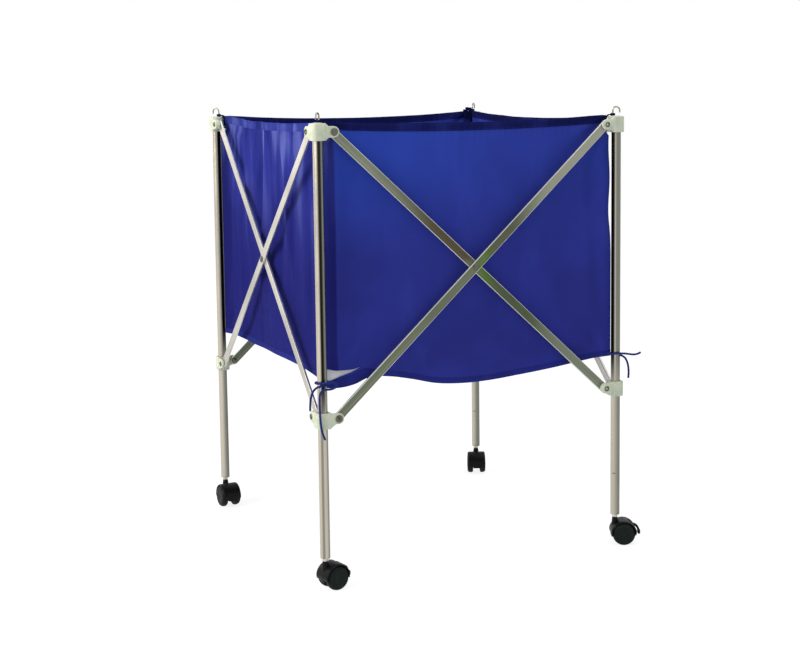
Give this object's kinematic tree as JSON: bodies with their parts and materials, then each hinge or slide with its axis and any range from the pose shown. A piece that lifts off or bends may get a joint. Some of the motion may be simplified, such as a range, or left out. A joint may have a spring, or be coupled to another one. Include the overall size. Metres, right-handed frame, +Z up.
{
  "type": "folding ball cart",
  "caption": "Folding ball cart: a hanging cloth bag in a square scissor-bar frame on swivel casters.",
  "frame": {"origin": "On the floor, at the middle of the space that the cart takes with its casters as they stand.", "axes": "+Z up, -Y towards the front face of the cart, +X to the right of a person who faces that side."},
  "size_m": [0.717, 0.6934, 0.9],
  "materials": {
    "anodised_tube": "satin anodised",
    "flat_bar": "satin",
    "bright_steel": "bright zinc plated",
    "white_nylon": "moulded, slightly translucent",
    "black_plastic": "moulded satin",
    "wheel_plastic": "moulded satin",
    "bag_cloth": "woven polyester",
    "tie_cord": "soft flat cord"
  },
  "bodies": {
    "front_left_leg": {"front_left_leg_tube": "anodised_tube", "front_left_top_bracket": "white_nylon", "front_left_bag_hook": "bright_steel", "front_left_caster_stem": "bright_steel", "bag_front_wall": "bag_cloth", "front_left_tie": "tie_cord"},
    "front_right_leg": {"front_right_leg_tube": "anodised_tube", "front_right_top_bracket": "white_nylon", "front_right_bag_hook": "bright_steel", "front_right_caster_stem": "bright_steel", "bag_right_wall": "bag_cloth", "front_right_tie": "tie_cord"},
    "back_right_leg": {"back_right_leg_tube": "anodised_tube", "back_right_top_bracket": "white_nylon", "back_right_bag_hook": "bright_steel", "back_right_caster_stem": "bright_steel", "bag_back_wall": "bag_cloth"},
    "back_left_leg": {"back_left_leg_tube": "anodised_tube", "back_left_top_bracket": "white_nylon", "back_left_bag_hook": "bright_steel", "back_left_caster_stem": "bright_steel", "bag_left_wall": "bag_cloth"},
    "front_inner_bar": {"front_inner_bar": "flat_bar", "front_centre_rivet": "bright_steel"},
    "front_outer_bar": {"front_outer_bar": "flat_bar"},
    "right_inner_bar": {"right_inner_bar": "flat_bar", "right_centre_rivet": "bright_steel"},
    "right_outer_bar": {"right_outer_bar": "flat_bar"},
    "back_inner_bar": {"back_inner_bar": "flat_bar", "back_centre_rivet": "bright_steel"},
    "back_outer_bar": {"back_outer_bar": "flat_bar"},
    "left_inner_bar": {"left_inner_bar": "flat_bar", "left_centre_rivet": "bright_steel"},
    "left_outer_bar": {"left_outer_bar": "flat_bar"},
    "front_left_slider": {"front_left_slider": "white_nylon"},
    "front_left_caster": {"front_left_caster_hood": "black_plastic", "front_left_axle": "bright_steel"},
    "front_left_wheel_right": {"front_left_wheel_right": "wheel_plastic"},
    "front_left_wheel_left": {"front_left_wheel_left": "wheel_plastic"},
    "front_right_slider": {"front_right_slider": "white_nylon"},
    "front_right_caster": {"front_right_caster_hood": "black_plastic", "front_right_axle": "bright_steel"},
    "front_right_wheel_right": {"front_right_wheel_right": "wheel_plastic"},
    "front_right_wheel_left": {"front_right_wheel_left": "wheel_plastic"},
    "back_right_slider": {"back_right_slider": "white_nylon"},
    "back_right_caster": {"back_right_caster_hood": "black_plastic", "back_right_axle": "bright_steel"},
    "back_right_wheel_right": {"back_right_wheel_right": "wheel_plastic"},
    "back_right_wheel_left": {"back_right_wheel_left": "wheel_plastic"},
    "back_left_slider": {"back_left_slider": "white_nylon"},
    "back_left_caster": {"back_left_caster_hood": "black_plastic", "back_left_axle": "bright_steel"},
    "back_left_wheel_right": {"back_left_wheel_right": "wheel_plastic"},
    "back_left_wheel_left": {"back_left_wheel_left": "wheel_plastic"},
    "front_left_brake_lever": {"front_left_brake_lever": "black_plastic"},
    "front_right_brake_lever": {"front_right_brake_lever": "black_plastic"},
    "bag_floor_front_half": {"bag_floor_front_half": "bag_cloth"},
    "bag_floor_back_half": {"bag_floor_back_half": "bag_cloth"}
  },
  "joints": [
    {"name": "fold", "type": "hinge", "parent": "front_left_leg", "child": "front_inner_bar", "pos_m": [-0.30595, -0.31022, 0.866], "axis": [0, 1, 0], "range_deg": [0, 37.8], "deforming": ["bag_front_wall", "bag_right_wall", "bag_back_wall", "bag_left_wall", "bag_floor_front_half", "bag_floor_back_half"]},
    {"name": "front_scissor", "type": "hinge", "parent": "front_inner_bar", "child": "front_outer_bar", "pos_m": [-0.01395, -0.31022, 0.598], "axis": [0, -1, 0], "range_deg": [0, 75.61]},
    {"name": "front_right_leg_fold", "type": "hinge", "parent": "front_outer_bar", "child": "front_right_leg", "pos_m": [0.27805, -0.31022, 0.866], "axis": [0, 1, 0], "range_deg": [0, 37.81]},
    {"name": "front_left_slider_fold", "type": "hinge", "parent": "front_outer_bar", "child": "front_left_slider", "pos_m": [-0.30595, -0.31022, 0.33], "axis": [0, 1, 0], "range_deg": [0, 37.81]},
    {"name": "front_right_slider_fold", "type": "hinge", "parent": "front_inner_bar", "child": "front_right_slider", "pos_m": [0.27805, -0.31022, 0.33], "axis": [0, -1, 0], "range_deg": [0, 37.81]},
    {"name": "left_outer_bar_fold", "type": "hinge", "parent": "front_left_leg", "child": "left_outer_bar", "pos_m": [-0.33395, -0.28222, 0.866], "axis": [-1, 0, 0], "range_deg": [0, 37.81]},
    {"name": "left_scissor", "type": "hinge", "parent": "left_outer_bar", "child": "left_inner_bar", "pos_m": [-0.33395, 0.00978, 0.598], "axis": [1, 0, 0], "range_deg": [0, 75.61]},
    {"name": "back_left_leg_fold", "type": "hinge", "parent": "left_inner_bar", "child": "back_left_leg", "pos_m": [-0.33395, 0.30178, 0.866], "axis": [-1, 0, 0], "range_deg": [0, 37.81]},
    {"name": "back_left_slider_fold", "type": "hinge", "parent": "left_outer_bar", "child": "back_left_slider", "pos_m": [-0.33395, 0.30178, 0.33], "axis": [1, 0, 0], "range_deg": [0, 37.81]},
    {"name": "right_inner_bar_fold", "type": "hinge", "parent": "front_right_leg", "child": "right_inner_bar", "pos_m": [0.30605, -0.28222, 0.866], "axis": [-1, 0, 0], "range_deg": [0, 37.81]},
    {"name": "right_scissor", "type": "hinge", "parent": "right_inner_bar", "child": "right_outer_bar", "pos_m": [0.30605, 0.00978, 0.598], "axis": [1, 0, 0], "range_deg": [0, 75.61]},
    {"name": "back_right_leg_fold", "type": "hinge", "parent": "right_outer_bar", "child": "back_right_leg", "pos_m": [0.30605, 0.30178, 0.866], "axis": [-1, 0, 0], "range_deg": [0, 37.81]},
    {"name": "back_right_slider_fold", "type": "hinge", "parent": "right_inner_bar", "child": "back_right_slider", "pos_m": [0.30605, 0.30178, 0.33], "axis": [1, 0, 0], "range_deg": [0, 37.81]},
    {"name": "back_inner_bar_fold", "type": "hinge", "parent": "back_right_leg", "child": "back_inner_bar", "pos_m": [0.27805, 0.32978, 0.866], "axis": [0, -1, 0], "range_deg": [0, 37.81]},
    {"name": "back_scissor", "type": "hinge", "parent": "back_inner_bar", "child": "back_outer_bar", "pos_m": [-0.01395, 0.32978, 0.598], "axis": [0, 1, 0], "range_deg": [0, 75.61]},
    {"name": "bag_floor_front_fold", "type": "hinge", "parent": "front_left_leg", "child": "bag_floor_front_half", "pos_m": [-0.01395, -0.29342, 0.398], "axis": [1, 0, 0], "range_deg": [0, 74.86]},
    {"name": "bag_floor_back_fold", "type": "hinge", "parent": "back_right_leg", "child": "bag_floor_back_half", "pos_m": [-0.01395, 0.31298, 0.398], "axis": [-1, 0, 0], "range_deg": [0, 74.86]},
    {"name": "front_left_swivel", "type": "hinge", "parent": "front_left_leg", "child": "front_left_caster", "pos_m": [-0.33395, -0.31022, 0.0235], "axis": [0, 0, 1], "continuous": true},
    {"name": "front_left_wheel_right_spin", "type": "hinge", "parent": "front_left_caster", "child": "front_left_wheel_right", "pos_m": [-0.31732, -0.30669, 0.0235], "axis": [-0.2079, 0.9781, 0], "continuous": true},
    {"name": "front_left_wheel_left_spin", "type": "hinge", "parent": "front_left_caster", "child": "front_left_wheel_left", "pos_m": [-0.31732, -0.30669, 0.0235], "axis": [-0.2079, 0.9781, 0], "continuous": true},
    {"name": "front_left_brake", "type": "hinge", "parent": "front_left_caster", "child": "front_left_brake_lever", "pos_m": [-0.30468, -0.304, 0.04005], "axis": [-0.2079, 0.9781, 0], "range_deg": [0, 6]},
    {"name": "front_right_swivel", "type": "hinge", "parent": "front_right_leg", "child": "front_right_caster", "pos_m": [0.30605, -0.31022, 0.0235], "axis": [0, 0, 1], "continuous": true},
    {"name": "front_right_wheel_right_spin", "type": "hinge", "parent": "front_right_caster", "child": "front_right_wheel_right", "pos_m": [0.32158, -0.31714, 0.0235], "axis": [0.4067, 0.9135, 0], "continuous": true},
    {"name": "front_right_wheel_left_spin", "type": "hinge", "parent": "front_right_caster", "child": "front_right_wheel_left", "pos_m": [0.32158, -0.31714, 0.0235], "axis": [0.4067, 0.9135, 0], "continuous": true},
    {"name": "front_right_brake", "type": "hinge", "parent": "front_right_caster", "child": "front_right_brake_lever", "pos_m": [0.33339, -0.32239, 0.04005], "axis": [0.4067, 0.9135, 0], "range_deg": [0, 6]},
    {"name": "back_right_swivel", "type": "hinge", "parent": "back_right_leg", "child": "back_right_caster", "pos_m": [0.30605, 0.32978, 0.0235], "axis": [0, 0, 1], "continuous": true},
    {"name": "back_right_wheel_right_spin", "type": "hinge", "parent": "back_right_caster", "child": "back_right_wheel_right", "pos_m": [0.29913, 0.31425, 0.0235], "axis": [0.9135, -0.4067, 0], "continuous": true},
    {"name": "back_right_wheel_left_spin", "type": "hinge", "parent": "back_right_caster", "child": "back_right_wheel_left", "pos_m": [0.29913, 0.31425, 0.0235], "axis": [0.9135, -0.4067, 0], "continuous": true},
    {"name": "back_left_swivel", "type": "hinge", "parent": "back_left_leg", "child": "back_left_caster", "pos_m": [-0.33395, 0.32978, 0.0235], "axis": [0, 0, 1], "continuous": true},
    {"name": "back_left_wheel_right_spin", "type": "hinge", "parent": "back_left_caster", "child": "back_left_wheel_right", "pos_m": [-0.33277, 0.31282, 0.0235], "axis": [0.9976, 0.0698, 0], "continuous": true},
    {"name": "back_left_wheel_left_spin", "type": "hinge", "parent": "back_left_caster", "child": "back_left_wheel_left", "pos_m": [-0.33277, 0.31282, 0.0235], "axis": [0.9976, 0.0698, 0], "continuous": true}
  ],
  "couplings": [
    {"joint": "front_scissor", "follows": "fold", "ratio": 2},
    {"joint": "front_right_leg_fold", "follows": "fold", "ratio": 1},
    {"joint": "front_left_slider_fold", "follows": "fold", "ratio": 1},
    {"joint": "front_right_slider_fold", "follows": "fold", "ratio": 1},
    {"joint": "left_outer_bar_fold", "follows": "fold", "ratio": 1},
    {"joint": "left_scissor", "follows": "fold", "ratio": 2},
    {"joint": "back_left_leg_fold", "follows": "fold", "ratio": 1},
    {"joint": "back_left_slider_fold", "follows": "fold", "ratio": 1},
    {"joint": "right_inner_bar_fold", "follows": "fold", "ratio": 1},
    {"joint": "right_scissor", "follows": "fold", "ratio": 2},
    {"joint": "back_right_leg_fold", "follows": "fold", "ratio": 1},
    {"joint": "back_right_slider_fold", "follows": "fold", "ratio": 1},
    {"joint": "back_inner_bar_fold", "follows": "fold", "ratio": 1},
    {"joint": "back_scissor", "follows": "fold", "ratio": 2},
    {"joint": "bag_floor_front_fold", "follows": "fold", "ratio": 1.98},
    {"joint": "bag_floor_back_fold", "follows": "fold", "ratio": 1.98}
  ]
}
